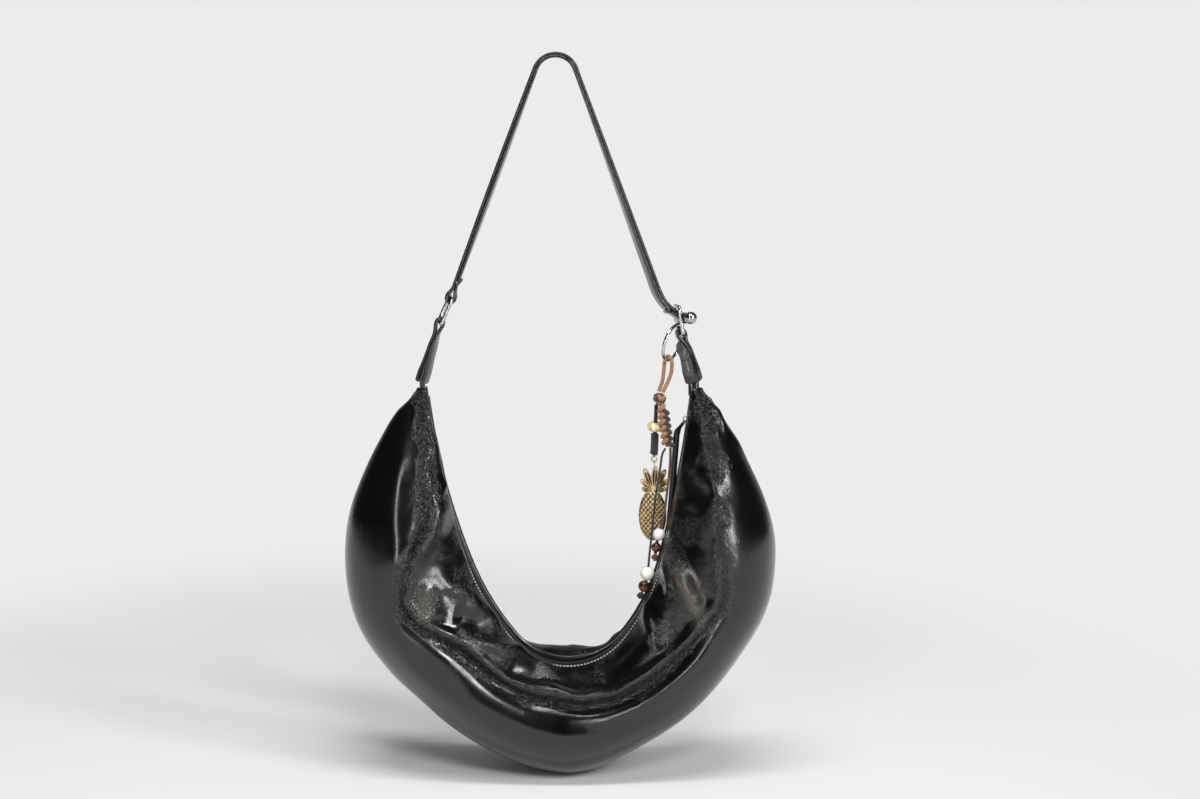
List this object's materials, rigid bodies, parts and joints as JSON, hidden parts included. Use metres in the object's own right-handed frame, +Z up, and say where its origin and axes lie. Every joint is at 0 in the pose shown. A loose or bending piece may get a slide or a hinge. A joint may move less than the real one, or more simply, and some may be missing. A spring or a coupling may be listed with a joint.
{
  "type": "half moon shoulder bag",
  "caption": "Black leather half moon shoulder bag with a two-ply strap, ring and bar clasp, curved zip and a knotted cord charm, hung from its strap.",
  "frame": {"origin": "centre of the round peg that the crown of the strap hangs on", "axes": "+X to the viewer's right along the bag, +Y away from the viewer along the peg, +Z up"},
  "size_m": [0.3812, 0.1109, 0.6408],
  "materials": {
    "black_leather": "gloss",
    "lip_leather": "gloss",
    "strap_leather": "satin",
    "lining_cloth": "matte",
    "zip_tape": "matte",
    "zip_metal": "polished",
    "ring_metal": "polished",
    "ball_metal": "polished",
    "copper_cord": "satin",
    "brown_cord": "satin",
    "black_cord": "satin",
    "horn_bead": "gloss",
    "antique_gold": "aged",
    "white_bead": "gloss",
    "dark_wood": "satin"
  },
  "bodies": {
    "strap": {"strap_outer_ply": "strap_leather", "strap_inner_ply": "strap_leather", "left_ring": "ring_metal", "right_ring": "ring_metal", "left_tab": "strap_leather", "right_tab": "strap_leather"},
    "toggle": {"toggle_bar": "ring_metal", "toggle_front_ball": "ball_metal", "toggle_rear_ball": "ball_metal"},
    "charm_ring": {"charm_ring": "ring_metal"},
    "charm": {"charm_loop_cord": "copper_cord", "charm_button_knot": "copper_cord", "charm_snake_braid": "copper_cord"},
    "branch": {"charm_branch_cord": "brown_cord", "charm_ring_bead": "horn_bead", "charm_wrapped_cord": "black_cord", "pineapple_jump_ring": "antique_gold"},
    "pineapple": {"pineapple_pendant": "antique_gold"},
    "hanging_cord_a": {"charm_cord_a": "black_cord", "white_bead_a": "white_bead", "wood_bead_a": "dark_wood", "cord_a_knot": "black_cord"},
    "hanging_cord_b": {"charm_cord_b": "brown_cord", "white_bead_b": "white_bead", "wood_bead_b": "dark_wood", "cord_b_knot": "brown_cord"},
    "bag": {"front_panel": "black_leather", "back_panel": "black_leather", "front_lining": "lining_cloth", "back_lining": "lining_cloth", "front_lip_binding": "lip_leather", "back_lip_binding": "lip_leather", "outer_seam_welt": "black_leather", "zip_tape_front": "zip_tape", "zip_tape_back": "zip_tape", "zip_chain": "zip_metal", "zip_stop_left": "zip_metal", "zip_stop_right": "zip_metal", "left_tip_tongue": "strap_leather", "right_tip_tongue": "strap_leather"},
    "slider": {"zip_slider": "zip_metal"},
    "pull_ring": {"zip_pull_ring": "zip_metal"},
    "pull": {"zip_pull_strip": "strap_leather"}
  },
  "joints": [
    {"name": "bag_swing", "type": "hinge", "parent": "strap", "child": "bag", "pos_m": [0, 0, -0.26477], "axis": [1, 0, 0], "range_deg": [-90, 90]},
    {"name": "toggle_spin", "type": "hinge", "parent": "strap", "child": "toggle", "pos_m": [0.1134, 0, -0.21126], "axis": [-0.2396, 0.9609, -0.1392], "continuous": true},
    {"name": "charm_ring_swing", "type": "hinge", "parent": "strap", "child": "charm_ring", "pos_m": [0.1093, 0.0065, -0.2236], "axis": [1, 0, 0], "range_deg": [-6, 1.4]},
    {"name": "charm_sway", "type": "hinge", "parent": "charm_ring", "child": "charm", "pos_m": [0.09856, 0.00251, -0.24851], "axis": [-0.4772, -0.8788, 0], "range_deg": [-30, 0]},
    {"name": "branch_sway", "type": "hinge", "parent": "charm", "child": "branch", "pos_m": [0.0882, 0.0042, -0.2882], "axis": [0, 1, 0], "range_deg": [0, 20]},
    {"name": "pineapple_sway", "type": "hinge", "parent": "branch", "child": "pineapple", "pos_m": [0.0866, 0.006, -0.3395], "axis": [0, 1, 0], "range_deg": [-5, 12]},
    {"name": "cord_a_sway", "type": "hinge", "parent": "charm", "child": "hanging_cord_a", "pos_m": [0.0962, -0.0038, -0.3257], "axis": [0, 1, 0], "range_deg": [0, 20]},
    {"name": "cord_b_sway", "type": "hinge", "parent": "charm", "child": "hanging_cord_b", "pos_m": [0.1007, -0.0016, -0.3254], "axis": [0, 1, 0], "range_deg": [-2.5, 0]},
    {"name": "zip_slide", "type": "hinge", "parent": "bag", "child": "slider", "pos_m": [-0.90496, 0, -0.16421], "axis": [0, 1, 0], "range_deg": [-0.15, 2.2]},
    {"name": "pull_ring_swing", "type": "hinge", "parent": "slider", "child": "pull_ring", "pos_m": [0.11687, 0, -0.30062], "axis": [0, 1, 0], "range_deg": [0, 12]},
    {"name": "pull_swing", "type": "hinge", "parent": "pull_ring", "child": "pull", "pos_m": [0.11511, 0, -0.30039], "axis": [0, 1, 0], "range_deg": [0, 15]}
  ]
}
